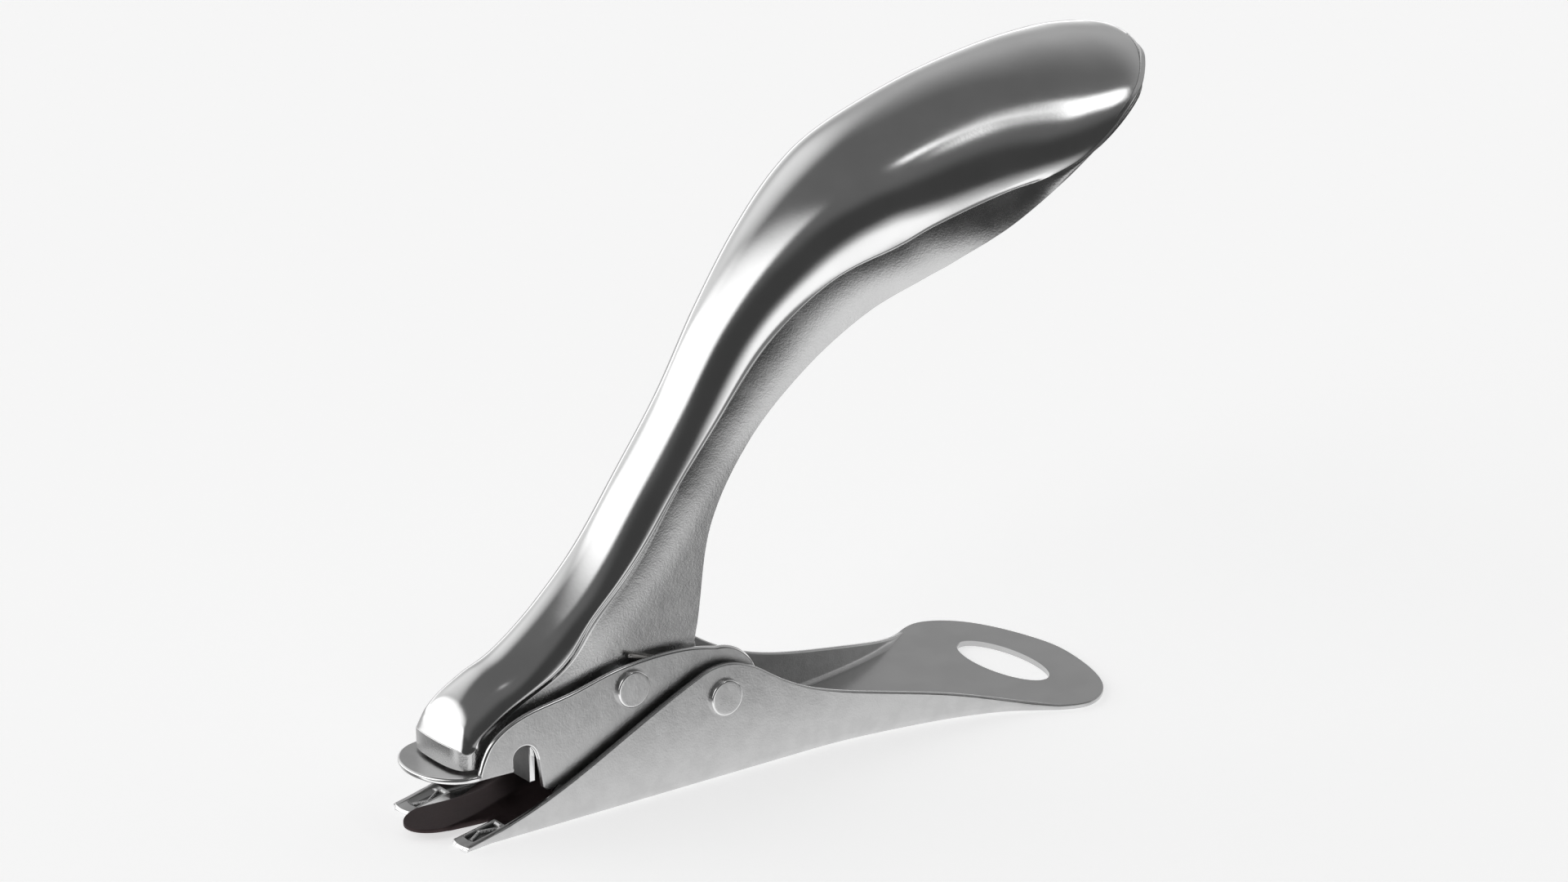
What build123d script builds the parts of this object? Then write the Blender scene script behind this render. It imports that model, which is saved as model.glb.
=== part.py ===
"""Squeeze-type staple remover: base with tines, jaw frame with lip, handle with lifting tongue.

Frame: origin on the flat underside, straight below the rear rivet. -X points to the tines,
+Z is up, and the object is mirror-symmetric about the XZ plane. Millimetres.
"""

from build123d import *
from math import acos, atan2, cos, degrees, hypot, radians, sin
import os

os.makedirs("parts", exist_ok=True)

# ---------------------------------------------------------------- driving dimensions
SHEET = 1.0  # thickness of the stamped steel

REAR_PIVOT = (0.0, 14.2)  # x, z of the rivet that joins base and jaw frame
FRONT_PIVOT = (-16.8, 19.1)  # x, z of the rivet that joins jaw frame and handle

BASE_HALF_WIDTH = 11.0  # outer faces of the base walls
JAW_HALF_WIDTH = 9.1  # outer faces of the jaw plates
SKIRT_HALF_WIDTH = 6.75  # outer faces of the handle skirts

TINE_TIP_X = -49.6
TAIL_END_X = 80.2
TAIL_HALF_WIDTH = 23.5
SLOT_HALF_WIDTH = 6.5  # gap between the tines passes a 12.9 mm staple crown
SLOT_REAR_X = -41.3
TAIL_HOLE_X = 67.9
TAIL_HOLE_RADII = (4.7, 11.2)

RIVET_RADIUS = 2.0
RIVET_HEAD_RADIUS = 3.05
RIVET_HEAD_HEIGHT = 0.8
RIVET_HEAD_BEVEL = 0.25
FIXED_HOLE_RADIUS = RIVET_RADIUS + 0.03
RUNNING_HOLE_RADIUS = RIVET_RADIUS + 0.06
SIDE_PLAY = 0.1  # left between flat faces that turn past each other

LIP_TOP_Z = 11.4
LIP_CENTRE_X = -45.5
LIP_RADII = (7.4, JAW_HALF_WIDTH)
NOTCH_FRONT_X = -39.4

CROSS_WALL_X = -35.5  # front face
CROSS_WALL_Z = (7.2, 13.4)

TONGUE_HALF_WIDTH = 4.65
TONGUE_TIP_X = -53.4
TONGUE_SHOULDER_HALF_WIDTH = 7.8
TONGUE_ROOT_HALF_WIDTH = 5.7
CHEEK_THICKNESS = 0.8
TONGUE_RIVET = (-24.5, 18.5)
TONGUE_RIVET_RADIUS = 1.0

BUSH_WALL = 1.0
SPRING_WIRE = 0.8
HANDLE_COIL_RADIUS = 3.9
JAW_COIL_RADIUS = 4.3
COIL_PITCH = 0.85

# ---------------------------------------------------------------- helpers


def xz_plane(y=0.0):
    """Sketch plane across Y: local x is X, local y is Z."""
    return Plane(origin=(0, y, 0), x_dir=(1, 0, 0), z_dir=(0, -1, 0))


def save(part, name):
    part.label = name
    export_step(part, f"parts/{name}.step")


# ---------------------------------------------------------------- base channel


def base_outline(inset, front_x):
    """Plan outline of the base, moved inwards by inset, as one closed wire."""
    half = BASE_HALF_WIDTH - inset
    tail = TAIL_HALF_WIDTH - inset
    end = TAIL_END_X - inset
    flare = [(19, half), (34, half + 1.4), (49, half + 4.7), (60, half + 9.6), (67.5, tail)]
    turn = [(73, tail - 2.8), (77, tail - 9), (79.4 - inset, 6.5), (end, 0)]
    side = flare + turn
    Line((front_x, -half), (front_x, half))
    Line((front_x, half), (19, half))
    Spline(*side, tangents=((1, 0), (0, -1)))
    Spline(*[(x, -y) for x, y in side], tangents=((1, 0), (0, 1)))
    Line((19, -half), (front_x, -half))


WALL_CREST = REAR_PIVOT[1] + 5.6
TINE_TIP_THICKNESS = 0.6
TINE_RAMP_END_X = -39.6
TINE_RAMP_TOP = 2.5

with BuildPart() as base_channel:
    with BuildSketch():
        with BuildLine():
            base_outline(0, TINE_TIP_X)
        make_face()
    extrude(amount=WALL_CREST + 1)
    with BuildSketch(Plane.XY.offset(SHEET)):
        with BuildLine():
            base_outline(SHEET, TINE_TIP_X - 1)
        make_face()
    extrude(amount=WALL_CREST + 1, mode=Mode.SUBTRACT)
    # side view: walls rise to the rear rivet, then sink into the flat tail
    with BuildSketch(xz_plane()):
        with BuildLine():
            Line((TINE_TIP_X - 2, 0), (TINE_TIP_X - 2, TINE_TIP_THICKNESS))
            Line((TINE_TIP_X - 2, TINE_TIP_THICKNESS), (TINE_TIP_X, TINE_TIP_THICKNESS))
            front = [(TINE_TIP_X, TINE_TIP_THICKNESS), (-36, 4.5), (-20.4, 11.5), (-4.6, 18.9)]
            Spline(*front, tangents=((1, 0.2), (1, 0.42)))
            ThreePointArc((-4.6, 18.9), (0, WALL_CREST), (4.6, 18.6))
            rear = [(4.6, 18.6), (10.2, 15.4), (18, 11.4), (30, 8), (46, 4.6), (62, SHEET)]
            Spline(*rear, tangents=((1, -0.35), (1, -0.15)))
            Polyline((62, SHEET), (TAIL_END_X + 2, SHEET), (TAIL_END_X + 2, 0), (TINE_TIP_X - 2, 0))
        make_face()
    extrude(amount=TAIL_HALF_WIDTH + 2, both=True, mode=Mode.INTERSECT)
    # tines: shallow wedges on both sides of the slot
    for side in (-1, 1):
        inner_y = side * SLOT_HALF_WIDTH
        with BuildSketch(xz_plane(inner_y)):
            with BuildLine():
                Polyline(
                    (TINE_TIP_X, 0),
                    (TINE_TIP_X, TINE_TIP_THICKNESS),
                    (TINE_RAMP_END_X, TINE_RAMP_TOP),
                    (TINE_RAMP_END_X, 0),
                    close=True,
                )
            make_face()
        extrude(amount=-side * (BASE_HALF_WIDTH - SLOT_HALF_WIDTH - SHEET / 2))
    slot_length = SLOT_REAR_X - TINE_TIP_X + 4
    with Locations((SLOT_REAR_X - slot_length / 2, 0, 0)):
        Box(slot_length, 2 * SLOT_HALF_WIDTH, 4 * SHEET, mode=Mode.SUBTRACT)
    with BuildSketch():
        with Locations((TAIL_HOLE_X, 0)):
            Ellipse(*TAIL_HOLE_RADII)
    extrude(amount=SHEET, mode=Mode.SUBTRACT)
    with BuildSketch(xz_plane()):
        with Locations(REAR_PIVOT):
            Circle(FIXED_HOLE_RADIUS)
    extrude(amount=BASE_HALF_WIDTH + 1, both=True, mode=Mode.SUBTRACT)
save(base_channel.part, "base_channel")

# ---------------------------------------------------------------- jaw frame
JAW_REAR_RADIUS = 8.0
HEEL_Z = SHEET + 0.35  # the heel stands just above the base floor at rest

with BuildPart() as jaw_frame:
    with BuildSketch(xz_plane()):
        with BuildLine():
            lip_under = LIP_TOP_Z - SHEET
            front = [(-45.4, LIP_TOP_Z), (-43.8, 15.2), (-37.2, 19.3), (-28.2, 20.9), (-20.4, 22.7)]
            crest = (-11, 23.5)
            pivot_x, pivot_z = REAR_PIVOT
            rear_top = (pivot_x, pivot_z + JAW_REAR_RADIUS)
            rear_bottom = (pivot_x, pivot_z - JAW_REAR_RADIUS)
            Line((-45.4, lip_under), (-45.4, LIP_TOP_Z))
            Spline(*front, crest)
            Spline(crest, (-5, 23.2), rear_top)
            ThreePointArc(rear_top, (pivot_x + JAW_REAR_RADIUS, pivot_z), rear_bottom)
            Spline(rear_bottom, (-7, 4.2), (-14, HEEL_Z), tangents=((-1, 0), (-1, 0)))
            Line((-14, HEEL_Z), (-23, HEEL_Z))
            Line((-23, HEEL_Z), (-31.2, 6.3))
            ThreePointArc((-31.2, 6.3), (-32.8, 5.8), (-33.8, 6.6))
            Line((-33.8, 6.6), (-34.9, 12.4))
            ThreePointArc((-34.9, 12.4), (-37.1, 14.4), (NOTCH_FRONT_X, 12.4))
            Line((NOTCH_FRONT_X, 12.4), (NOTCH_FRONT_X, lip_under))
            Line((NOTCH_FRONT_X, lip_under), (-45.4, lip_under))
        make_face()
        with Locations(FRONT_PIVOT):
            Circle(FIXED_HOLE_RADIUS, mode=Mode.SUBTRACT)
        with Locations(REAR_PIVOT):
            Circle(RUNNING_HOLE_RADIUS, mode=Mode.SUBTRACT)
    extrude(amount=JAW_HALF_WIDTH, both=True)
    Box(200, 2 * (JAW_HALF_WIDTH - SHEET), 200, mode=Mode.SUBTRACT)
    # rounded lip that reaches over the tongue
    with BuildSketch(Plane.XY.offset(LIP_TOP_Z - SHEET)):
        with Locations((LIP_CENTRE_X, 0)):
            Ellipse(*LIP_RADII)
        with Locations(((LIP_CENTRE_X + NOTCH_FRONT_X) / 2, 0)):
            Rectangle(NOTCH_FRONT_X - LIP_CENTRE_X, 2 * JAW_HALF_WIDTH)
        lip_cut = NOTCH_FRONT_X + LIP_RADII[0] / 2
        with Locations((lip_cut, 0)):
            Rectangle(LIP_RADII[0], 2 * JAW_HALF_WIDTH, mode=Mode.SUBTRACT)
    extrude(amount=SHEET)
save(jaw_frame.part, "jaw_frame")

with BuildPart() as jaw_cross_wall:
    wall_height = CROSS_WALL_Z[1] - CROSS_WALL_Z[0]
    with Locations((CROSS_WALL_X + SHEET / 2, 0, (CROSS_WALL_Z[0] + CROSS_WALL_Z[1]) / 2)):
        Box(SHEET, 2 * (JAW_HALF_WIDTH - SHEET), wall_height)
save(jaw_cross_wall.part, "jaw_cross_wall")

# ---------------------------------------------------------------- handle shell
# Each station is a section across the handle: a crown arc on top and a straight skirt on each
# side. It holds the crown's highest point and the rim's point in the side view, how far down
# from crown to rim the crease lies, and the half width at the crease and at the rim.
STATIONS = [
    ((-48.1, 17.4), (-47.6, 11.9), 0.50, 6.60, 6.60),
    ((-46.8, 20.0), (-46.2, 11.9), 0.58, 6.75, 6.75),
    ((-44.1, 22.0), (-43.0, 12.2), 0.57, 6.75, 6.75),
    ((-34.9, 26.7), (-31.0, 15.0), 0.47, 6.75, 6.75),
    ((-27.4, 32.9), (-6.5, 15.0), 0.20, 6.75, 6.75),
    ((-19.9, 40.5), (-2.6, 24.9), 0.24, 6.75, 6.75),
    ((-12.0, 51.2), (0.3, 42.0), 0.41, 6.75, 6.85),
    ((-3.8, 62.7), (7.9, 55.0), 0.52, 6.8, 7.1),
    ((4.1, 75.6), (17.9, 65.6), 0.53, 7.8, 8.8),
    ((13.0, 87.2), (28.2, 73.5), 0.57, 10.6, 11.3),
    ((22.4, 96.2), (37.5, 78.2), 0.68, 13.6, 14.1),
    ((32.2, 102.0), (43.0, 80.8), 0.70, 15.5, 15.8),
    ((49.2, 107.7), (53.6, 86.3), 0.76, 17.3, 18.5),
    ((66.0, 111.0), (66.5, 95.0), 0.80, 19.0, 20.7),
    ((78.0, 112.3), (77.5, 103.4), 0.80, 17.6, 19.9),
    ((85.0, 112.0), (84.5, 108.4), 0.70, 12.0, 13.6),
    ((87.8, 111.6), (87.6, 110.4), 0.70, 6.0, 6.8),
]


def station_sketch(station, inset, open_by):
    """Section of the handle, moved inwards by inset and continued past the rim by open_by."""
    (top_x, top_z), (rim_x, rim_z), crease, crease_half, rim_half = station
    length = hypot(rim_x - top_x, rim_z - top_z)
    down = ((rim_x - top_x) / length, (rim_z - top_z) / length)
    plane = Plane(origin=(top_x, 0, top_z), x_dir=(0, 1, 0), z_dir=(-down[1], 0, down[0]))
    crease_drop = max(crease * length, inset + 0.3)
    with BuildSketch(plane) as section:
        with BuildLine():
            left = (-(crease_half - inset), -crease_drop)
            right = (crease_half - inset, -crease_drop)
            rim_left = (-(rim_half - inset), -(length + open_by))
            rim_right = (rim_half - inset, -(length + open_by))
            Line(rim_left, left)
            ThreePointArc(left, (0, -inset), right)
            Line(right, rim_right)
            Line(rim_right, rim_left)
        make_face()
    return section.sketch


def shifted(station, dx):
    """The same section moved along X."""
    (top_x, top_z), (rim_x, rim_z), crease, crease_half, rim_half = station
    return ((top_x + dx, top_z), (rim_x + dx, rim_z), crease, crease_half, rim_half)


def flat(station):
    (top_x, top_z), (rim_x, rim_z), crease, crease_half, rim_half = station
    return (top_x, top_z, rim_x, rim_z, crease, crease_half, rim_half)


def halfway(before, start, end, after):
    """Section midway between start and end, on a Catmull-Rom curve through all four."""
    rows = zip(flat(before), flat(start), flat(end), flat(after))
    mid = [(9 * (p1 + p2) - p0 - p3) / 16 for p0, p1, p2, p3 in rows]
    return ((mid[0], mid[1]), (mid[2], mid[3]), mid[4], mid[5], mid[6])


def densify(stations):
    """The stations with one more section between each pair."""
    dense = [stations[0]]
    last = len(stations) - 1
    for i in range(last):
        before = stations[max(i - 1, 0)]
        after = stations[min(i + 2, last)]
        dense.append(halfway(before, stations[i], stations[i + 1], after))
        dense.append(stations[i + 1])
    return dense


sections = densify(STATIONS)
with BuildPart() as handle_shell:
    for station in sections:
        add(station_sketch(station, 0, 0))
    loft(ruled=True)
    # hollow from the front face to just short of the tip, open at the rim
    cavity = [shifted(sections[0], SHEET)] + sections[3:-4]
    for station in cavity:
        add(station_sketch(station, SHEET, 1.5))
    loft(ruled=True, mode=Mode.SUBTRACT)
    with BuildSketch(xz_plane()):
        with Locations(FRONT_PIVOT):
            Circle(RUNNING_HOLE_RADIUS)
        with Locations(TONGUE_RIVET):
            Circle(TONGUE_RIVET_RADIUS + 0.03)
    extrude(amount=SKIRT_HALF_WIDTH + 1, both=True, mode=Mode.SUBTRACT)
save(handle_shell.part, "handle_shell")

# ---------------------------------------------------------------- lifting tongue
CHEEK_OUTER = SKIRT_HALF_WIDTH - SHEET - 0.05

with BuildPart() as lifting_tongue:
    # plan: rounded tongue, wide shoulders, narrower root
    with BuildSketch():
        with BuildLine():
            tip = (TONGUE_TIP_X, 0)
            waist = (-47.5, TONGUE_HALF_WIDTH)
            shoulder = [(-42, TONGUE_HALF_WIDTH), (-38, 6.3), (-35.2, TONGUE_SHOULDER_HALF_WIDTH)]
            for side in (-1, 1):
                Spline(tip, (-52, side * 2.9), (waist[0], side * waist[1]), tangents=((0, side), (1, 0)))
                Line((waist[0], side * waist[1]), (shoulder[0][0], side * shoulder[0][1]))
                Spline(*[(x, side * y) for x, y in shoulder], tangents=((1, 0), (1, 0)))
                Polyline(
                    (-35.2, side * TONGUE_SHOULDER_HALF_WIDTH),
                    (-31.5, side * TONGUE_SHOULDER_HALF_WIDTH),
                    (-30.0, side * TONGUE_ROOT_HALF_WIDTH),
                    (-20.0, side * TONGUE_ROOT_HALF_WIDTH),
                )
            Line((-20.0, -TONGUE_ROOT_HALF_WIDTH), (-20.0, TONGUE_ROOT_HALF_WIDTH))
        make_face()
    extrude(amount=20)
    # side view: thin at the tip, rising and thicker towards the root
    with BuildSketch(xz_plane()):
        with BuildLine():
            top = [(-54, 1.85), (-48, 2.25), (-41, 2.7), (-35, 4.1)]
            Spline(*top, tangents=((1, 0.05), (1, 0.28)))
            Line(top[-1], (-19, 8.9))
            Line((-19, 8.9), (-19, 7.7))
            Line((-19, 7.7), (-35, 2.9))
            under = [(-35, 2.9), (-41, 1.75), (-48, 1.5), (-54, 1.35)]
            Spline(*under, tangents=((-1, -0.28), (-1, -0.05)))
            Line((-54, 1.35), (-54, 1.85))
        make_face()
    extrude(amount=TONGUE_SHOULDER_HALF_WIDTH + 1, both=True, mode=Mode.INTERSECT)
    # upright cheeks that lie inside the handle skirts
    for side in (-1, 1):
        with BuildSketch(xz_plane(side * CHEEK_OUTER)):
            with BuildLine():
                Polyline((-30, 4.6), (-19.2, 7.9), (-12.6, 16.0), (-12.2, 19.1))
                ThreePointArc((-12.2, 19.1), (-14.5, 23.1), (-18.5, 23.4))
                Polyline((-18.5, 23.4), (-27.2, 21.5), (-30, 6.0), (-30, 4.6))
            make_face()
            with Locations(FRONT_PIVOT):
                Circle(RUNNING_HOLE_RADIUS, mode=Mode.SUBTRACT)
            with Locations(TONGUE_RIVET):
                Circle(TONGUE_RIVET_RADIUS + 0.03, mode=Mode.SUBTRACT)
        extrude(amount=side * CHEEK_THICKNESS)
save(lifting_tongue.part, "lifting_tongue")

# ---------------------------------------------------------------- rivets, bushes, washers


def bevelled_rivet(pivot, shaft_radius, head_radius, head_height, head_face_y):
    """Two-headed rivet along Y through a pivot, with bevelled flat heads."""
    x, z = pivot
    seat = head_face_y - head_height
    with BuildPart() as rivet:
        with BuildSketch(xz_plane()):
            with Locations((x, z)):
                Circle(shaft_radius)
        extrude(amount=head_face_y - head_height / 2, both=True)
        for side in (-1, 1):
            with BuildSketch(xz_plane(side * seat)):
                with Locations((x, z)):
                    Circle(head_radius)
            extrude(amount=-side * head_height)
        rims = rivet.edges().filter_by(GeomType.CIRCLE).group_by(Axis.Y)
        chamfer(rims[0] + rims[-1], RIVET_HEAD_BEVEL)
    return rivet.part


def ring(pivot, inner_radius, outer_radius, y_spans):
    """Rings round a pivot axis, one for each span of Y."""
    with BuildPart() as rings:
        for low, high in y_spans:
            with BuildSketch(xz_plane(low)):
                with Locations(pivot):
                    Circle(outer_radius)
                    Circle(inner_radius, mode=Mode.SUBTRACT)
            extrude(amount=low - high)
    return rings.part


def mirrored(low, high):
    return [(low, high), (-high, -low)]


rear_rivet = bevelled_rivet(
    REAR_PIVOT, RIVET_RADIUS, RIVET_HEAD_RADIUS, RIVET_HEAD_HEIGHT, BASE_HALF_WIDTH + RIVET_HEAD_HEIGHT
)
save(rear_rivet, "rear_rivet")

front_rivet = bevelled_rivet(
    FRONT_PIVOT, RIVET_RADIUS, RIVET_HEAD_RADIUS, RIVET_HEAD_HEIGHT, JAW_HALF_WIDTH + RIVET_HEAD_HEIGHT
)
save(front_rivet, "front_rivet")

bush_radius = FIXED_HOLE_RADIUS + BUSH_WALL
jaw_inner = JAW_HALF_WIDTH - SHEET
base_inner = BASE_HALF_WIDTH - SHEET
cheek_inner = CHEEK_OUTER - CHEEK_THICKNESS

bush_half = jaw_inner - SIDE_PLAY
save(ring(REAR_PIVOT, FIXED_HOLE_RADIUS, bush_radius, [(-bush_half, bush_half)]), "rear_bush")
spring_seat = cheek_inner - SIDE_PLAY
save(ring(FRONT_PIVOT, FIXED_HOLE_RADIUS, bush_radius, [(-spring_seat, spring_seat)]), "front_bush")
rear_gaps = mirrored(JAW_HALF_WIDTH + SIDE_PLAY, base_inner)
save(ring(REAR_PIVOT, FIXED_HOLE_RADIUS, RIVET_HEAD_RADIUS + 0.4, rear_gaps), "rear_washers")
front_gaps = mirrored(SKIRT_HALF_WIDTH + SIDE_PLAY, jaw_inner)
save(ring(FRONT_PIVOT, FIXED_HOLE_RADIUS, bush_radius, front_gaps), "front_washers")

with BuildPart() as tongue_rivets:
    for side in (-1, 1):
        with BuildSketch(xz_plane(side * SKIRT_HALF_WIDTH)):
            with Locations(TONGUE_RIVET):
                Circle(TONGUE_RIVET_RADIUS)
        extrude(amount=side * (SKIRT_HALF_WIDTH - cheek_inner))
        with BuildSketch(xz_plane(side * SKIRT_HALF_WIDTH)):
            with Locations(TONGUE_RIVET):
                Circle(TONGUE_RIVET_RADIUS + 0.8)
        extrude(amount=-side * 0.5)
        with BuildSketch(xz_plane(side * cheek_inner)):
            with Locations(TONGUE_RIVET):
                Circle(TONGUE_RIVET_RADIUS + 0.8)
        extrude(amount=side * 0.5)
save(tongue_rivets.part, "tongue_rivets")

# ---------------------------------------------------------------- torsion springs


def torsion_spring(pivot, coil_radius, start_angle, turns, near_y, leg_start, leg_end, rising):
    """Torsion spring round a pivot, wound from near_y towards +Y, with a straight leg at each end.

    start_angle is the coil's first point, in degrees from +X towards +Z. A rising coil turns
    that way too, and any other coil turns the opposite way.
    """
    with BuildPart() as spring:
        with BuildLine() as centre_line:
            height = turns * COIL_PITCH
            coil = Helix(pitch=COIL_PITCH, height=height, radius=coil_radius, lefthand=rising)
            Line(coil @ 0 - (coil % 0) * leg_start, coil @ 0)
            Line(coil @ 1, coil @ 1 + (coil % 1) * leg_end)
        path = centre_line.wires()[0]
        with BuildSketch(Plane(origin=coil @ 0 - (coil % 0) * leg_start, z_dir=coil % 0)):
            Circle(SPRING_WIRE / 2)
        sweep(path=path, is_frenet=True)
    angle = radians(start_angle)
    # the coil's own axis runs along +Y, and its x axis points to the first coil point
    seat = Plane(origin=(pivot[0], near_y, pivot[1]), x_dir=(cos(angle), 0, sin(angle)), z_dir=(0, 1, 0))
    return seat * spring.part


# one leg stands up inside the crown, the other lies over the rear bush
pivot_dx = REAR_PIVOT[0] - FRONT_PIVOT[0]
pivot_dz = REAR_PIVOT[1] - FRONT_PIVOT[1]
pivot_gap = hypot(pivot_dx, pivot_dz)
pivot_slope = degrees(atan2(pivot_dz, pivot_dx))
wire_seat = SPRING_WIRE / 2 + 0.05
crossing = HANDLE_COIL_RADIUS + bush_radius + wire_seat
handle_leg_point = pivot_slope - degrees(acos(crossing / pivot_gap))
handle_turns = 5 + (handle_leg_point + 180) / 360
save(
    torsion_spring(FRONT_PIVOT, HANDLE_COIL_RADIUS, 180, handle_turns, -2.6, 17.0, 18.4, True),
    "handle_spring",
)
# one leg lies on the front washer between skirt and jaw plate, the other stands on the floor
taper = JAW_COIL_RADIUS - bush_radius - wire_seat
jaw_leg_point = pivot_slope + degrees(acos(-taper / pivot_gap))
floor_leg_point = 30
jaw_turns = 5 + (jaw_leg_point - floor_leg_point) / 360
save(
    torsion_spring(REAR_PIVOT, JAW_COIL_RADIUS, jaw_leg_point, jaw_turns, -7.1, 18.5, 17.0, False),
    "jaw_spring",
)
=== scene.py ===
"""Looks of the squeeze-type staple remover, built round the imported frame.

Shapes are written in millimetres in the shared frame and turned into metres when a mesh is made:
-X points to the tines, the near side is -Y, +Z is up, the origin is under the rear rivet.
"""

from math import acos, atan2, cos, hypot, pi, radians, sin

import bmesh
import bpy
import numpy as np
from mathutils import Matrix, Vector


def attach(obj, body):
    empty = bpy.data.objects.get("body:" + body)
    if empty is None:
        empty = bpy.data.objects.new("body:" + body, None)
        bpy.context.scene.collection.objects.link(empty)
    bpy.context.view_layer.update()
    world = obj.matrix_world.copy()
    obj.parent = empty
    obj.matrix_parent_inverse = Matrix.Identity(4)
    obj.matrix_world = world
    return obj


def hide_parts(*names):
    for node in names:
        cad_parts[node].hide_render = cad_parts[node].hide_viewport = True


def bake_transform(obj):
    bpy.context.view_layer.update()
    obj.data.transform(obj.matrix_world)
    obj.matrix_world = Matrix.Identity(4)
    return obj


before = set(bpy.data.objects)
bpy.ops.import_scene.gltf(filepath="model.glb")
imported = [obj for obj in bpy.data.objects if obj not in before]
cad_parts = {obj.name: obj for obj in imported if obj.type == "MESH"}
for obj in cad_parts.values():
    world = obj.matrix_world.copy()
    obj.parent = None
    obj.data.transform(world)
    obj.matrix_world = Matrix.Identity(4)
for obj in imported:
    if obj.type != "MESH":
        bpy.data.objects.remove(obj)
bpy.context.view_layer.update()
MM = 0.001

# ---- camera
CAMERA_AZIMUTH = radians(-36.93)
CAMERA_ELEVATION = radians(18.05)
CAMERA_TARGET = Vector((20.13, 0.0, 50.64)) * MM
CAMERA_DISTANCE = 599.4 * MM
CAMERA_LENS = 84.375


def make_camera():
    level = cos(CAMERA_ELEVATION)
    back = Vector((sin(CAMERA_AZIMUTH) * level, -cos(CAMERA_AZIMUTH) * level, sin(CAMERA_ELEVATION)))
    data = bpy.data.cameras.new("camera")
    data.lens = CAMERA_LENS
    data.sensor_width = 36.0
    data.clip_start = 0.01
    data.clip_end = 20.0
    camera = bpy.data.objects.new("camera", data)
    bpy.context.scene.collection.objects.link(camera)
    camera.location = CAMERA_TARGET + back * CAMERA_DISTANCE
    camera.rotation_mode = "QUATERNION"
    camera.rotation_quaternion = (-back).to_track_quat("-Z", "Y")
    bpy.context.scene.camera = camera


make_camera()

# ---- node helpers


def new_material(name):
    material = bpy.data.materials.new(name)
    material.use_nodes = True
    tree = material.node_tree
    return material, tree, tree.nodes["Principled BSDF"]


def set_inputs(node, **values):
    """Sets inputs by name, with underscores for spaces."""
    for name, value in values.items():
        node.inputs[name.replace("_", " ")].default_value = value


def add_node(tree, kind, **values):
    node = tree.nodes.new("ShaderNode" + kind)
    set_inputs(node, **values)
    return node


def noise(tree, scale, detail, source, roughness):
    """Noise texture with its scale in features per metre."""
    node = add_node(tree, "TexNoise", Scale=scale, Detail=detail, Roughness=roughness)
    tree.links.new(source, node.inputs["Vector"])
    return node.outputs["Fac"]


def remap(tree, value, low, high, to_low, to_high, smooth=False):
    """Takes values between low and high to the new range, and holds them at its ends."""
    node = add_node(tree, "MapRange", From_Min=low, From_Max=high, To_Min=to_low, To_Max=to_high)
    if smooth:
        node.interpolation_type = "SMOOTHSTEP"
    tree.links.new(value, node.inputs["Value"])
    return node.outputs["Result"]


def math(tree, operation, a, b=None):
    node = add_node(tree, "Math")
    node.operation = operation
    for i, x in enumerate((a, b)):
        if x is None:
            continue
        if isinstance(x, (int, float)):
            node.inputs[i].default_value = x
        else:
            tree.links.new(x, node.inputs[i])
    return node.outputs[0]


def mix_colour(tree, factor, dark, light):
    node = add_node(tree, "Mix")
    node.data_type = "RGBA"
    tree.links.new(factor, node.inputs["Factor"])
    node.inputs["A"].default_value = (*dark, 1)
    node.inputs["B"].default_value = (*light, 1)
    return node.outputs["Result"]


def bump(tree, heights, strength, distance):
    """Bump from one height, or from several added up."""
    total = heights[0]
    for h in heights[1:]:
        total = math(tree, "ADD", total, h)
    node = add_node(tree, "Bump", Strength=strength, Distance=distance)
    tree.links.new(total, node.inputs["Height"])
    return node.outputs["Normal"]


def metal(name, dark, light, rough_low, rough_high, grain_mm, grain_depth, blotch_mm=5.0):
    """Metal with a fine grain and soft blotches in tone and gloss.

    dark and light are the two tones, grain_mm is the size of the grain, grain_depth its height
    and blotch_mm the size of the blotches, all three in millimetres.
    """
    material, tree, shader = new_material(name)
    place = add_node(tree, "TexCoord").outputs["Object"]
    fine = noise(tree, 1 / (grain_mm * MM), 2.0, place, 0.55)
    coarse = noise(tree, 1 / (4 * grain_mm * MM), 3.0, place, 0.6)
    blotch = noise(tree, 1 / (blotch_mm * MM), 3.0, place, 0.55)
    tone = remap(tree, blotch, 0.32, 0.68, 0.0, 1.0, True)
    tree.links.new(mix_colour(tree, tone, dark, light), shader.inputs["Base Color"])
    gloss = math(tree, "ADD", math(tree, "MULTIPLY", blotch, 0.7), math(tree, "MULTIPLY", fine, 0.3))
    tree.links.new(remap(tree, gloss, 0.3, 0.7, rough_low, rough_high), shader.inputs["Roughness"])
    heights = [fine, math(tree, "MULTIPLY", coarse, 1.4)]
    tree.links.new(bump(tree, heights, 1.0, grain_depth * MM), shader.inputs["Normal"])
    shader.inputs["Metallic"].default_value = 1.0
    return material


MIRROR = metal("mirror_chrome", (0.81, 0.81, 0.81), (0.85, 0.85, 0.85), 0.12, 0.17, 0.5, 0.0015, 9.0)
SKIRT = metal("skirt_steel", (0.59, 0.59, 0.59), (0.65, 0.65, 0.65), 0.22, 0.30, 0.30, 0.014, 4.0)
SATIN = metal("satin_steel", (0.56, 0.56, 0.56), (0.62, 0.62, 0.62), 0.28, 0.36, 0.28, 0.018, 3.0)
TAIL = metal("tail_steel", (0.51, 0.51, 0.51), (0.55, 0.55, 0.55), 0.20, 0.27, 0.50, 0.003, 9.0)
# bright copy of the steel for the small edge faces: a painted highlight along edges and rims
EDGE_HIGHLIGHT = metal("edge_painted_highlight", (0.84, 0.84, 0.84), (0.92, 0.92, 0.92), 0.10, 0.16, 0.4, 0.001)
# near-black copy of the steel: painted shade on the cross wall and in the tines' recesses
SHADED_STEEL = metal("steel_painted_shade", (0.13, 0.13, 0.13), (0.17, 0.17, 0.17), 0.30, 0.38, 0.30, 0.012, 3.0)
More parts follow.
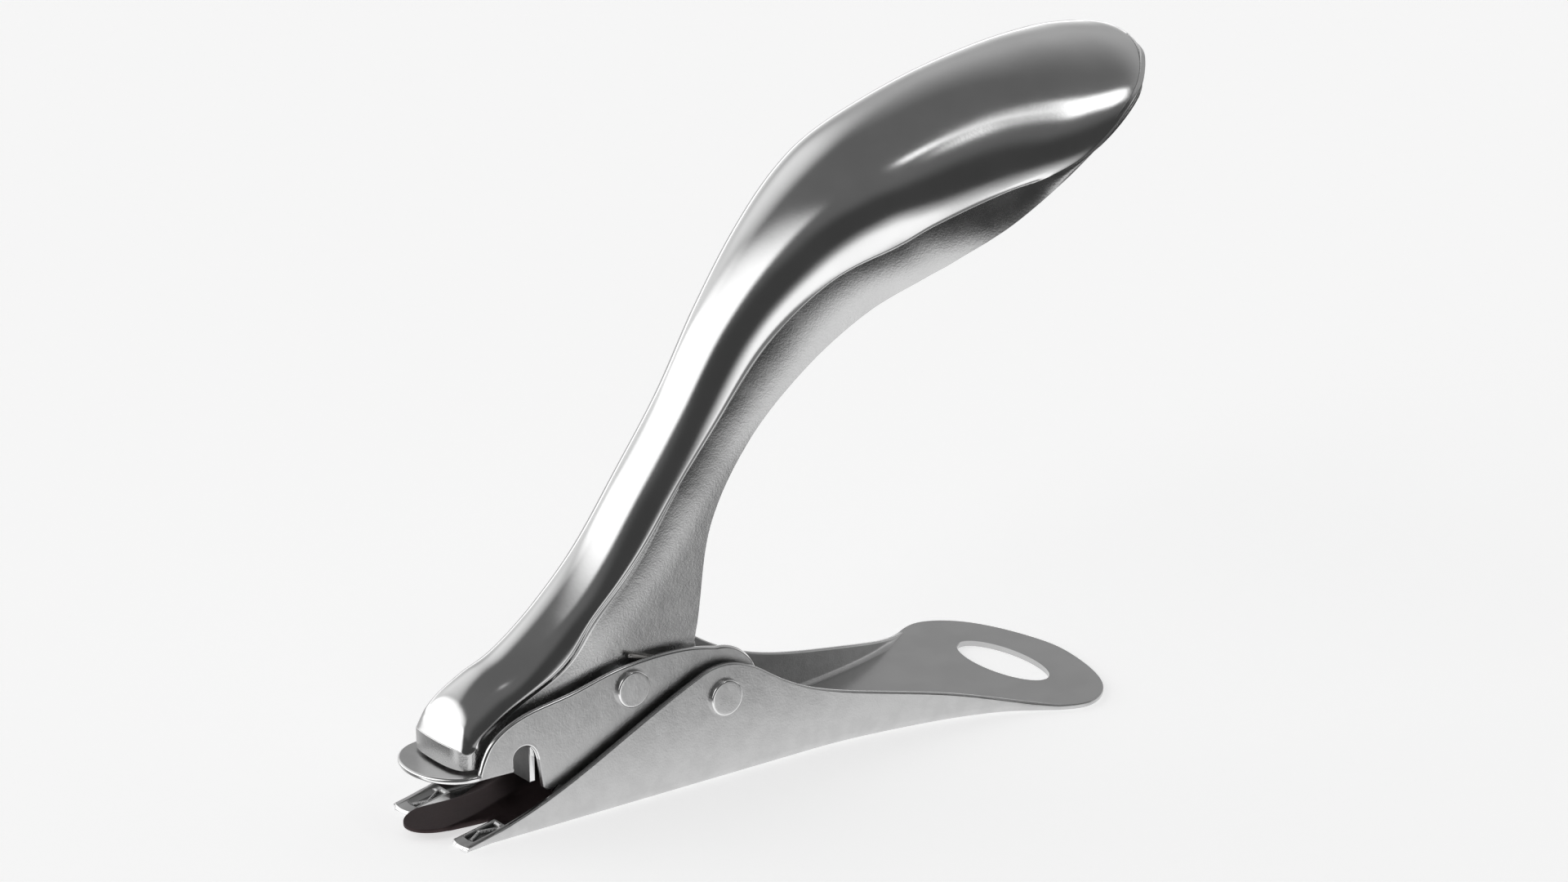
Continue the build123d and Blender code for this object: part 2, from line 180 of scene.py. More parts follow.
RIVET = metal("rivet_steel", (0.62, 0.62, 0.62), (0.70, 0.70, 0.70), 0.25, 0.34, 0.28, 0.014, 3.0)
ZINC = metal("zinc_steel", (0.46, 0.47, 0.48), (0.60, 0.61, 0.62), 0.30, 0.45, 0.30, 0.006, 2.5)
WIRE = metal("spring_wire", (0.34, 0.33, 0.32), (0.50, 0.49, 0.47), 0.24, 0.36, 0.30, 0.003, 2.0)
DARK = metal("dark_spring_steel", (0.062, 0.046, 0.047), (0.080, 0.060, 0.061), 0.45, 0.58, 0.35, 0.006, 4.0)
# lighter copy of the tongue's steel for its rounded edges
DARK_EDGE = metal("dark_lighter_edge", (0.10, 0.08, 0.08), (0.16, 0.13, 0.125), 0.32, 0.45, 0.3, 0.003, 2.0)

# ---- mesh helpers
SMALL_FACE = 0.4  # area for each millimetre of a plate's thickness
NORMAL_WEIGHT = 80
SHARP_DEGREES = 40
ROUND_SHARP_DEGREES = 50
LATHE_SIDES = 72
WIRE_SIDES = 14
WIRE_CAP = 0.35  # length and radius of a wire's end, as shares of its radius
WIRE_END = 0.6


def spline(points, start=None, end=None, step=0.5):
    """Cubic spline through the points, as a list of points about step apart.

    start and end are tangent directions; without one, that end is left free.
    """
    p = np.array(points, float)
    chord = np.linalg.norm(np.diff(p, axis=0), axis=1)
    n = len(p)
    a = np.zeros((n, n))
    b = np.zeros_like(p)
    for i in range(1, n - 1):
        a[i, i - 1] = chord[i]
        a[i, i] = 2 * (chord[i] + chord[i - 1])
        a[i, i + 1] = chord[i - 1]
        b[i] = 3 * (chord[i] * (p[i] - p[i - 1]) / chord[i - 1] + chord[i - 1] * (p[i + 1] - p[i]) / chord[i])
    for row, tangent, near, far in ((0, start, 0, 1), (n - 1, end, n - 1, n - 2)):
        if tangent is None:
            a[row, near], a[row, far] = 2, 1
            gap = chord[0] if row == 0 else chord[-1]
            b[row] = 3 * abs(far - near) * (p[max(near, far)] - p[min(near, far)]) / gap
        else:
            a[row, near] = 1
            b[row] = np.array(tangent, float) / np.linalg.norm(tangent)
    slope = np.linalg.solve(a, b)
    made = []
    for i in range(n - 1):
        count = max(2, int(round(chord[i] / step)))
        for k in range(count):
            s = k / count
            h = chord[i]
            made.append(
                (2 * s**3 - 3 * s**2 + 1) * p[i]
                + (s**3 - 2 * s**2 + s) * h * slope[i]
                + (3 * s**2 - 2 * s**3) * p[i + 1]
                + (s**3 - s**2) * h * slope[i + 1]
            )
    made.append(p[-1])
    return [tuple(m) for m in made]


def arc(centre, radius, start, end, count):
    """Points of an arc, angles in degrees."""
    return [
        (centre[0] + radius * cos(radians(a)), centre[1] + radius * sin(radians(a)))
        for a in np.linspace(start, end, count)
    ]


def arc_through(a, b, c, count):
    """Points of the arc from a through b to c."""
    ax, ay = a
    bx, by = b
    cx, cy = c
    d = 2 * (ax * (by - cy) + bx * (cy - ay) + cx * (ay - by))
    ux = ((ax**2 + ay**2) * (by - cy) + (bx**2 + by**2) * (cy - ay) + (cx**2 + cy**2) * (ay - by)) / d
    uy = ((ax**2 + ay**2) * (cx - bx) + (bx**2 + by**2) * (ax - cx) + (cx**2 + cy**2) * (bx - ax)) / d
    r = hypot(ax - ux, ay - uy)
    angles = [atan2(y - uy, x - ux) for x, y in (a, b, c)]
    turn = (angles[2] - angles[0]) % (2 * pi)
    if (angles[1] - angles[0]) % (2 * pi) > turn:
        turn -= 2 * pi
    return [
        (ux + r * cos(angles[0] + turn * k / (count - 1)), uy + r * sin(angles[0] + turn * k / (count - 1)))
        for k in range(count)
    ]


def joined(*parts):
    """One outline from several point lists, without doubled points."""
    made = []
    for part in parts:
        for q in part:
            if not made or hypot(q[0] - made[-1][0], q[1] - made[-1][1]) > 1e-4:
                made.append(tuple(q))
    if hypot(made[0][0] - made[-1][0], made[0][1] - made[-1][1]) < 1e-4:
        made.pop()
    return made


def mesh_object(name, vertices, faces, materials, slots=(), weld=1e-7):
    """Object from vertices in millimetres, with its doubles merged and its normals outwards.

    slots lists the faces' material slots where they differ. weld is in metres.
    """
    mesh = bpy.data.meshes.new(name)
    mesh.from_pydata([tuple(c * MM for c in v) for v in vertices], [], faces)
    made = bpy.data.objects.new(name, mesh)
    bpy.context.scene.collection.objects.link(made)
    for m in materials:
        mesh.materials.append(m)
    for polygon, slot in zip(mesh.polygons, slots):
        polygon.material_index = slot
    b = bmesh.new()
    b.from_mesh(mesh)
    bmesh.ops.remove_doubles(b, verts=b.verts, dist=weld)
    bmesh.ops.dissolve_degenerate(b, edges=b.edges, dist=1e-7)
    bmesh.ops.recalc_face_normals(b, faces=b.faces)
    b.to_mesh(mesh)
    b.free()
    return made


def prism(name, outline, low, high, materials, plane="xz"):
    """Outline between two flat faces. In plane xz it stands across Y, in xy across Z."""
    n = len(outline)

    def at(p, depth):
        return (p[0], depth, p[1]) if plane == "xz" else (p[0], p[1], depth)

    vertices = [at(p, low) for p in outline] + [at(p, high) for p in outline]
    faces = [list(range(n)), [n + i for i in reversed(range(n))]]
    faces += [[i, (i + 1) % n, n + (i + 1) % n, n + i] for i in range(n)]
    return mesh_object(name, vertices, faces, materials)


def inset(outline, distance):
    """Outline moved towards its inside, with mitred corners. It runs either way round."""
    p = np.array(outline, float)
    area = np.sum(p[:, 0] * np.roll(p[:, 1], -1) - np.roll(p[:, 0], -1) * p[:, 1])
    ahead = np.roll(p, -1, axis=0) - p
    ahead /= np.linalg.norm(ahead, axis=1)[:, None]
    inward = np.stack([-ahead[:, 1], ahead[:, 0]], axis=1) * (1 if area > 0 else -1)
    before = np.roll(inward, 1, axis=0)
    together = 1 + np.sum(inward * before, axis=1)
    distances = np.array([distance(q) for q in outline])
    return p + (inward + before) / together[:, None] * distances[:, None]


def skin_faces(rings, count):
    """Faces between rings of count vertices each, all the way round."""
    faces = []
    for i in range(rings - 1):
        for k in range(count):
            j = (k + 1) % count
            faces.append([i * count + k, i * count + j, (i + 1) * count + j, (i + 1) * count + k])
    return faces


def cap_faces(rings, count):
    """The two faces that close a skin at its first and its last ring."""
    return [list(range(count)), [(rings - 1) * count + k for k in range(count)]]


def rounded_plate(name, outline, low, high, materials, radius_at, plane="xz", steps=4):
    """Plate between two flat faces with all its edges rounded.

    radius_at gives the radius at a point. The small faces on the edges take the last material.
    """
    rings = []
    for face, towards in ((low, 1), (high, -1)):
        angles = np.linspace(0, pi / 2, steps + 1)
        for a in angles if face == low else angles[::-1]:
            moved = inset(outline, lambda q: radius_at(q) * (1 - sin(a)))
            depth = [face + towards * radius_at(q) * (1 - cos(a)) for q in outline]
            rings.append([(m[0], m[1], d) for m, d in zip(moved, depth)])
    n = len(outline)
    vertices = [v if plane == "xy" else (v[0], v[2], v[1]) for ring in rings for v in ring]
    faces = cap_faces(len(rings), n) + skin_faces(len(rings), n)
    made = mesh_object(name, vertices, faces, materials)
    small = SMALL_FACE * (high - low) * MM * MM
    for polygon in made.data.polygons:
        if polygon.area < small and len(polygon.vertices) == 4:
            polygon.material_index = len(materials) - 1
    return made


def weigh_normals(piece):
    """Lets the large faces decide the normals, so that flat faces look flat."""
    m = piece.modifiers.new("even_normals", "WEIGHTED_NORMAL")
    m.keep_sharp = True
    m.weight = NORMAL_WEIGHT
    return piece


def even_normals(piece):
    """Smooth shading that keeps the flat faces flat and the corners sharp."""
    for polygon in piece.data.polygons:
        polygon.use_smooth = True
    piece.data.set_sharp_from_angle(angle=radians(SHARP_DEGREES))
    return weigh_normals(piece)


def apply_modifiers(piece):
    """Leaves the piece as a plain mesh with its modifiers in it."""
    graph = bpy.context.evaluated_depsgraph_get()
    mesh = bpy.data.meshes.new_from_object(piece.evaluated_get(graph))
    piece.modifiers.clear()
    piece.data = mesh
    return piece


def boolean(piece, other, operation):
    """Cuts other from piece or joins it to it, and removes other."""
    m = piece.modifiers.new("cut", "BOOLEAN")
    m.operation = operation
    m.solver = "EXACT"
    m.object = other
    apply_modifiers(piece)
    bpy.data.objects.remove(other)
    return piece


def soften(piece, width, segments, edge_slot, from_degrees):
    """Rounds the edges that turn by more than an angle. The new faces take the edge slot."""
    b = bmesh.new()
    b.from_mesh(piece.data)
    bmesh.ops.remove_doubles(b, verts=b.verts, dist=2e-7)
    weight = b.edges.layers.float.get("bevel_weight_edge") or b.edges.layers.float.new("bevel_weight_edge")
    for e in b.edges:
        if len(e.link_faces) == 2 and e.calc_face_angle(0) > radians(from_degrees):
            e[weight] = 1.0
    for f in b.faces:
        f.smooth = True
    b.to_mesh(piece.data)
    b.free()
    m = piece.modifiers.new("rounded_edges", "BEVEL")
    m.limit_method = "WEIGHT"
    m.width = width * MM
    m.segments = segments
    m.use_clamp_overlap = True
    m.miter_outer = "MITER_ARC"
    m.harden_normals = False
    m.material = edge_slot
    return weigh_normals(piece)


def lathe(name, profile, centre, materials):
    """Turned piece about an axis along Y. profile lists (radius, y) and centre is (x, z)."""
    vertices = []
    for radius, y in profile:
        for k in range(LATHE_SIDES):
            a = 2 * pi * k / LATHE_SIDES
            vertices.append((centre[0] + radius * cos(a), y, centre[1] + radius * sin(a)))
    rings = len(profile)
    faces = skin_faces(rings, LATHE_SIDES) + cap_faces(rings, LATHE_SIDES)
    return mesh_object(name, vertices, faces, materials)


def tube(name, path, radius, materials):
    """Round wire along a path of points, closed and slightly rounded at both ends."""
    p = np.array(path, float)
    tangent = np.gradient(p, axis=0)
    tangent /= np.linalg.norm(tangent, axis=1)[:, None]
    side = np.cross(tangent[0], (0, 1, 0))
    if np.linalg.norm(side) < 0.1:
        side = np.cross(tangent[0], (1, 0, 0))
    rings = []
    for i in range(len(p)):
        side = side - tangent[i] * (side @ tangent[i])
        side /= np.linalg.norm(side)
        rings.append((p[i], side.copy(), np.cross(tangent[i], side), radius))
    cap = WIRE_CAP * radius
    first, last = rings[0], rings[-1]
    rings.insert(0, (first[0] - tangent[0] * cap, first[1], first[2], WIRE_END * radius))
    rings.append((last[0] + tangent[-1] * cap, last[1], last[2], WIRE_END * radius))
    vertices = []
    for centre, u, v, r in rings:
        for k in range(WIRE_SIDES):
            a = 2 * pi * k / WIRE_SIDES
            vertices.append(tuple(centre + r * (u * cos(a) + v * sin(a))))
    faces = skin_faces(len(rings), WIRE_SIDES) + cap_faces(len(rings), WIRE_SIDES)
    made = mesh_object(name, vertices, faces, materials)
    made.data.shade_smooth()
    return made


def stand_for(piece, node, body):
    """Puts a piece on its body, in the place of a CAD node."""
    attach(piece, body)
    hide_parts(node)


# ---- shared sizes, as in the CAD
SHEET = 1.0
REAR_PIVOT = (0.0, 14.2)
FRONT_PIVOT = (-16.8, 19.1)
BASE_HALF = 11.0
JAW_HALF = 9.1
SKIRT_HALF = 6.75
TINE_TIP_X = -49.6
TINE_INNER_Y = 6.5
TINE_TIP_CHAMFER = 0.42
TINE_TIP_HEIGHT = 0.85
SLOT_REAR_X = -41.3
TAIL_END_X = 80.2
RIVET_RADIUS = 2.0
RIVET_HEAD_RADIUS = 3.05
RIVET_HEAD_HEIGHT = 0.8
TONGUE_RIVET = (-24.5, 18.5)
TONGUE_RIVET_HOLE = 1.03
CLOSE_FIT = 0.03
LOOSE_FIT = 0.06
BUSH_WALL = 1.0

# ---- base channel
WALL_CREST = REAR_PIVOT[1] + 5.6
OUTLINE_SIDE = [(19, 11), (34, 12.4), (49, 15.7), (60, 20.6), (67.5, 23.5), (73, 20.7)]
OUTLINE_SIDE += [(77, 14.5), (79.4, 6.5), (TAIL_END_X, 0)]
WALL_FRONT = [(TINE_TIP_X, TINE_TIP_HEIGHT), (-36, 4.5), (-20.4, 11.5), (-4.6, 18.9)]
WALL_REAR = [(4.6, 18.6), (10.2, 15.4), (18, 11.4), (30, 8), (46, 4.6), (62, SHEET)]
TAIL_HOLE_X = 67.9
TAIL_HOLE_RADII = (4.7, 11.2)
FLAT_END_X = 90
OUTER_BEND = 1.6
TAIL_BEND = 0.6
TAIL_BEND_FADE = (52, 63)
WALL_LIP = 0.32
INNER_FILLET = 0.9
BASE_STEP = 0.8
TINE_STEP = 0.15
# upper face of a tine: a ramp, a recess in it, a zig-zag rib in that, and a groove on either side
TINE_SLOPE = 0.17
TINE_RAKE = 0.45
RECESS_AT = (4.9, 2.75)  # behind the tip and in from the wall's outer face
RECESS_HALF = (3.0, 1.25)
RECESS_DEPTH = 0.5
ZIGZAG_PERIOD = 5.6
ZIGZAG_SHIFT = 8.05
ZIGZAG_REACH = 0.8
RIB_HALF = 0.30
RIB_SHARE = 0.85
GROOVE_AT = 1.6
GROOVE_HALF = (3.5, 0.16)
GROOVE_DEPTH = 0.06


def wall_heights():
    """Height of the base's walls along X, as matching lists of x and z."""
    front = spline(WALL_FRONT, (1, 0.2), (1, 0.42))
    crest = arc_through(WALL_FRONT[-1], (0, WALL_CREST), WALL_REAR[0], 16)
    rear = spline(WALL_REAR, (1, -0.35), (1, -0.15))
    line = joined(front, crest, rear, [(FLAT_END_X, SHEET)])
    return [p[0] for p in line], [p[1] for p in line]


def base_rows():
    """Rows round the base's outline: (x, y, inward x, inward y) from the right tine to the left."""
    tine_xs = np.arange(TINE_TIP_X + 0.24, SLOT_REAR_X - 0.4, TINE_STEP)
    wall_xs = np.arange(SLOT_REAR_X, OUTLINE_SIDE[0][0], BASE_STEP)
    straight = [(x, BASE_HALF) for x in (TINE_TIP_X, *tine_xs, SLOT_REAR_X - 0.05, *wall_xs)]
    side = spline(OUTLINE_SIDE, (1, 0), (0, -1), BASE_STEP)
    half = np.array(straight + side)
    half = half[np.concatenate([[True], np.linalg.norm(np.diff(half, axis=0), axis=1) > 1e-3])]
    line = np.concatenate([half * (1, -1), half[-2::-1]])
    along = np.gradient(line, axis=0)
    along[0], along[-1] = (1, 0), (-1, 0)
    along /= np.linalg.norm(along, axis=1)[:, None]
    inward = np.stack([-along[:, 1], along[:, 0]], axis=1)
    return np.concatenate([line, inward], axis=1)


def smooth_step(x, low, high):
    t = min(max((x - low) / (high - low), 0.0), 1.0)
    return t * t * (3 - 2 * t)


def tine_top(x, depth):
    """Height of a tine's upper face at x, depth millimetres in from the wall's outer face.

    The face is a ramp with a framed recess, and a zig-zag rib stands in the recess.
    """
    ramp = TINE_TIP_HEIGHT + (x - TINE_TIP_X) * TINE_SLOPE
    along = x - TINE_TIP_X - RECESS_AT[0]
    across = depth - RECESS_AT[1]
    recess = smooth_step(RECESS_HALF[1] - abs(across), 0.0, 0.25)
    recess *= smooth_step(RECESS_HALF[0] - abs(along), 0.0, 0.25)
    phase = (along / ZIGZAG_PERIOD + ZIGZAG_SHIFT) % 1.0
    rib_across = (abs(phase - 0.5) * 4 - 1) * ZIGZAG_REACH
    rib = smooth_step(RIB_HALF - abs(across - rib_across) * 0.8, 0.0, 0.2)
    groove = smooth_step(GROOVE_HALF[1] - abs(abs(across) - GROOVE_AT), 0.0, 0.12)
    groove *= smooth_step(GROOVE_HALF[0] - abs(along), 0.0, 0.2)
    return ramp - RECESS_DEPTH * recess * (1 - RIB_SHARE * rib) - GROOVE_DEPTH * groove


def base_profile(x, height):
    """Ring round the sheet at one place, as (depth inwards, z).

    It starts under the floor's inner edge and goes outwards, up the wall and back in.
    """
    on_tine = x < SLOT_REAR_X - 0.01
    bend = min(OUTER_BEND - (OUTER_BEND - TAIL_BEND) * smooth_step(x, *TAIL_BEND_FADE), 0.8 * height)
    top = max(height, SHEET) if x > SLOT_REAR_X else height
    inner_z = min(SHEET, top) if not on_tine else min(tine_top(x, 1.3), top)
    floor_depth = BASE_HALF - TINE_INNER_Y
    chamfer = TINE_TIP_CHAMFER if x < TINE_TIP_X + 0.1 else 0.0
    top -= chamfer
    inner_z -= chamfer
    lip = min(WALL_LIP, 0.45 * (top - bend))
    inner_lip = min(lip, 0.8 * (top - inner_z))
    fillet = min(INNER_FILLET, top - inner_lip - inner_z)
    ring = [(floor_depth, 0.0)]
    ring += arc((bend, bend), bend, -90, -180, 8)
    ring += arc((lip, top - lip), lip, 180, 90, 5)
    ring += arc((SHEET - inner_lip, top - inner_lip), inner_lip, 90, 0, 5)
    ring += arc((SHEET + fillet, inner_z + fillet), fillet, 180, 270, 6)
    for d in np.linspace(SHEET + 0.95, floor_depth, 22):
        z = (tine_top(x, d) if on_tine else SHEET) - chamfer
        ring.append((d, min(z, top) if on_tine else z))
    return ring


def finish_base_face(polygon):
    """Picks a face's finish: 1 is the tail's, 2 the painted highlight of an edge, 3 the painted shade of the
    recess's floor.
    """
    c = polygon.center / MM
    if c.z > SHEET - 0.02 and polygon.normal.z > 0.9 and c.x > SLOT_REAR_X:
        polygon.material_index = 1
    # the tines' front faces take the painted highlight
    if abs(polygon.normal.y) < 0.5 and polygon.normal.x < -0.4 and c.x < TINE_TIP_X + 0.5:
        polygon.material_index = 2
    on_tine = TINE_TIP_X + 1 < c.x < SLOT_REAR_X - 0.5 and TINE_INNER_Y < abs(c.y) < BASE_HALF - 1
    # in a tine's recess the sunk floor takes painted shade and the frame a painted highlight
    if on_tine and c.z > 0.3:
        sunk = TINE_TIP_HEIGHT + (c.x - TINE_TIP_X) * TINE_SLOPE - c.z
        on_frame = 0.03 < sunk < 0.2 and abs(c.x - TINE_TIP_X - RECESS_AT[0]) < 2.6
        polygon.material_index = 3 if sunk > 0.3 else 2 if on_frame else 0


def make_base():
    heights_x, heights_z = wall_heights()
    rows = base_rows()
    vertices = []
    rings = []
    for x, y, nx, ny in rows:
        height = float(np.interp(x, heights_x, heights_z))
        ring = []
        for depth, z in base_profile(x, height):
            px, py = x + nx * depth, y + ny * depth
            if x < SLOT_REAR_X:
                offset = (abs(py) - (TINE_INNER_Y + BASE_HALF) / 2) / 2.25
                px += TINE_RAKE * offset**2 * smooth_step(SLOT_REAR_X - x, 0.0, 8.0)
            ring.append(len(vertices))
            vertices.append((px, py, z))
        rings.append(ring)
    faces = []
    width = len(rings[0])
    for i in range(len(rings) - 1):
        for k in range(width - 1):
            faces.append([rings[i][k], rings[i + 1][k], rings[i + 1][k + 1], rings[i][k + 1]])
    slot_rows = [i for i, r in enumerate(rows) if r[0] < SLOT_REAR_X - 0.01]
    first = [i for i in slot_rows if rows[i][1] < 0]
    last = [i for i in slot_rows if rows[i][1] > 0]
    # the slot's sides, the tine tips, the slot's rear face, the floor's two faces
    for i in first + [min(last) - 1 + k for k in range(len(last))]:
        faces.append([rings[i][-1], rings[i + 1][-1], rings[i + 1][0], rings[i][0]])
    faces.append(rings[0])
    faces.append(rings[-1])
    inner = list(range(max(first) + 1, min(last)))
    faces.append([rings[inner[0]][0], rings[inner[0]][-1], rings[inner[-1]][-1], rings[inner[-1]][0]])
    faces.append([rings[i][-1] for i in inner])
    faces.append([rings[i][0] for i in inner])
    base = mesh_object("base_sheet", vertices, faces, [SATIN, TAIL, EDGE_HIGHLIGHT, SHADED_STEEL])
    hole = [
        (TAIL_HOLE_X + TAIL_HOLE_RADII[0] * cos(a), TAIL_HOLE_RADII[1] * sin(a))
        for a in np.linspace(0, 2 * pi, 97)[:-1]
    ]
    boolean(base, prism("cutter", hole, -1, 3, [TAIL], "xy"), "DIFFERENCE")
    for polygon in base.data.polygons:
        finish_base_face(polygon)
    return even_normals(base)


base = make_base()
stand_for(base, "base_channel", "base")

# ---- jaw frame
JAW_REAR_RADIUS = 8.0
HEEL_Z = SHEET + 0.35
LIP_TOP = 11.4
LIP_CENTRE_X = -45.5
LIP_RADII = (7.4, JAW_HALF)
NOTCH_FRONT_X = -39.2
NOTCH_TOP = [(-34.5, 11.4), (-35.6, 13.7), (-37.2, 14.25), (-38.6, 13.7), (NOTCH_FRONT_X, 12.6)]
PLATE_ROUNDING = 0.22
LIP_ROUNDING = 0.38
HOLE_SIDES = 48


def jaw_outline():
    under = LIP_TOP - SHEET
    top = [(-45.4, LIP_TOP), (-43.8, 15.2), (-37.2, 19.3), (-28.2, 20.9), (-20.4, 22.7), (-11, 23.5)]
    x, z = REAR_PIVOT
    r = JAW_REAR_RADIUS
    return joined(
        [(-45.4, under)],
        spline(top, step=0.6),
        spline([(-11, 23.5), (-5, 23.2), (x, z + r)], step=0.6),
        arc((x, z), r, 90, -90, 40),
        spline([(x, z - r), (-7, 4.2), (-14, HEEL_Z)], (-1, 0), (-1, 0), 0.6),
        [(-23, HEEL_Z), (-31.2, 6.3)],
        arc_through((-31.2, 6.3), (-32.8, 5.8), (-33.8, 6.6), 12),
        spline(NOTCH_TOP, (-0.25, 1), (0, -1), 0.3),
        [(NOTCH_FRONT_X, under)],
    )


def lip_outline():
    a, b = LIP_RADII
    front = [(LIP_CENTRE_X - a * cos(t), -b * sin(t)) for t in np.linspace(-pi / 2, pi / 2, 61)]
    return joined(front, [(NOTCH_FRONT_X, -b), (NOTCH_FRONT_X, b)])


def drill(piece, pivot, radius, reach):
    """Cuts a round hole along Y, reach millimetres to either side."""
    hole = arc(pivot, radius, 0, 360 * (HOLE_SIDES - 1) / HOLE_SIDES, HOLE_SIDES)
    return boolean(piece, prism("cutter", hole, -reach, reach, piece.data.materials[:1]), "DIFFERENCE")


def jaw_rounding(p):
    """Radius of the side plates' edges: fuller along the top and the front, where they are rolled."""
    x, z = p
    along_top = smooth_step(z - 0.10 * (x + 45), 12.0, 15.0)
    at_front = 1 - smooth_step(x, -45.2, -43)
    return PLATE_ROUNDING + 0.22 * along_top + 0.2 * at_front


def make_jaw():
    outline = jaw_outline()
    steel = [SATIN, EDGE_HIGHLIGHT]
    # the rounded edges of the plates and the lip take the painted highlight
    jaw = rounded_plate("jaw_sheet", outline, -JAW_HALF, -JAW_HALF + SHEET, steel, jaw_rounding)
    boolean(jaw, rounded_plate("other", outline, JAW_HALF - SHEET, JAW_HALF, steel, jaw_rounding), "UNION")
    lip = rounded_plate("lip", lip_outline(), LIP_TOP - SHEET, LIP_TOP, steel, lambda q: LIP_ROUNDING, "xy")
    boolean(jaw, lip, "UNION")
    drill(jaw, FRONT_PIVOT, RIVET_RADIUS + CLOSE_FIT, JAW_HALF + 1)
    drill(jaw, REAR_PIVOT, RIVET_RADIUS + LOOSE_FIT, JAW_HALF + 1)
    return even_normals(jaw)


jaw = make_jaw()
stand_for(jaw, "jaw_frame", "jaw")


CROSS_WALL_X = -35.5
CROSS_WALL_Z = (7.4, 13.4)


def make_cross_wall():
    """Upright plate across the jaw, in steel painted dark as shade. A hair of air shows between it and the
    side plates.
    """
    x = CROSS_WALL_X
    low, high = CROSS_WALL_Z
    half = JAW_HALF - SHEET - 0.2
    outline = [(x, low), (x + SHEET, low), (x + SHEET, high), (x, high)]
    wall = rounded_plate("cross_wall_sheet", outline, -half, half, [SHADED_STEEL, EDGE_HIGHLIGHT], lambda q: 0.14)
    return even_normals(wall)


cross_wall = make_cross_wall()
stand_for(cross_wall, "jaw_cross_wall", "jaw")

# ---- handle
# Sections from the nose to the pad's end: crown point, rim point, crease share, half widths at
# crease and rim. The middle ones are the CAD's.
STATIONS = [
    ((-48.3, 15.4), (-48.3, 11.9), 0.26, 7.40, 7.40),
    ((-47.4, 17.5), (-47.2, 11.9), 0.44, 7.42, 7.42),
    ((-46.3, 19.6), (-46.0, 11.9), 0.56, 7.40, 7.40),
    ((-44.3, 22.0), (-43.3, 12.2), 0.56, 7.20, 7.20),
    ((-40.6, 24.5), (-37.5, 13.5), 0.52, 6.90, 6.90),
    ((-35.2, 27.0), (-31.0, 15.0), 0.48, 6.75, 6.75),
    ((-27.4, 32.9), (-6.5, 15.0), 0.20, 6.75, 6.75),
    ((-19.9, 40.5), (-2.6, 24.9), 0.24, 6.75, 6.75),
    ((-12.0, 51.2), (0.3, 42.0), 0.41, 6.75, 6.85),
    ((-3.8, 62.7), (7.9, 55.0), 0.52, 6.8, 7.1),
    ((4.1, 75.6), (17.9, 65.6), 0.53, 7.8, 8.8),
    ((13.0, 87.2), (28.2, 73.5), 0.57, 10.6, 11.3),
    ((22.4, 96.2), (37.5, 78.2), 0.68, 13.6, 14.1),
    ((32.2, 102.0), (43.0, 80.8), 0.70, 15.5, 15.8),
    ((49.2, 107.7), (53.6, 86.3), 0.78, 17.5, 18.5),
    ((66.0, 111.0), (66.5, 95.0), 0.95, 21.2, 20.2),
    ((78.0, 112.1), (77.5, 103.4), 0.97, 20.2, 19.4),
    ((85.0, 112.0), (84.5, 108.4), 0.97, 13.8, 13.4),
    ((87.8, 111.6), (87.6, 110.4), 0.97, 6.8, 6.7),
]
FLAT_STATIONS = np.array([(*top, *rim, *rest) for top, rim, *rest in STATIONS])


def station_at(u):
    """Section values at place u along the stations, on a Catmull-Rom curve."""
    last = len(FLAT_STATIONS) - 1
    i = min(int(u), last - 1)
    t = u - i
    p0, p1, p2, p3 = (FLAT_STATIONS[min(max(k, 0), last)] for k in (i - 1, i, i + 1, i + 2))
    return 0.5 * (
        2 * p1 + (p2 - p0) * t + (2 * p0 - 5 * p1 + 4 * p2 - p3) * t**2 + (3 * p1 - p0 - 3 * p2 + p3) * t**3
    )


SKIRT_STEPS = 16
SKIRT_CROWDING = 1.6  # draws the skirt's points together towards the crease
SKIRT_HOLLOW = 0.16
SKIRT_HOLLOW_REACH = 7.0
LEAST_DROP = 0.3
NOSE_CORNER = 2.4
NOSE_CORNER_POWER = 2.6
NOSE_RIDGE = 0.15
CREASE_BEAD = 0.45
PAD_END_BEAD = 1.0
BOX_POWER = 3.2
NOSE_BOX_POWER = 2.4
BEAD_SHARE = 0.12
PAD_BEAD_SHARE = 0.2
# where along the stations each trait comes or goes
BOXY_FADE = (1.2, 5.0)
NOSE_FADE = (0.0, 5.0)
HOLLOW_START = (0.0, 2.0)
HOLLOW_GROWTH = (5.5, 8.0)
HOLLOW_SHARES = (0.45, 0.55)
CREASE_BEAD_FADE = (9.0, 11.5)
PAD_END = (13.9, 15.2)
PAD_BEAD_FADE = (15.6, 17.2)
NOSE_UNTIL = 4
NOSE_ROWS = 48
BODY_ROWS = 170
TIP_ROWS = 14
WELD = 0.002
EDGE_SHARES = np.linspace(0.88, 1, 8)
CROWN_SHARES = [*EDGE_SHARES[::-1], *np.linspace(0.85, -0.85, 41), *-EDGE_SHARES]


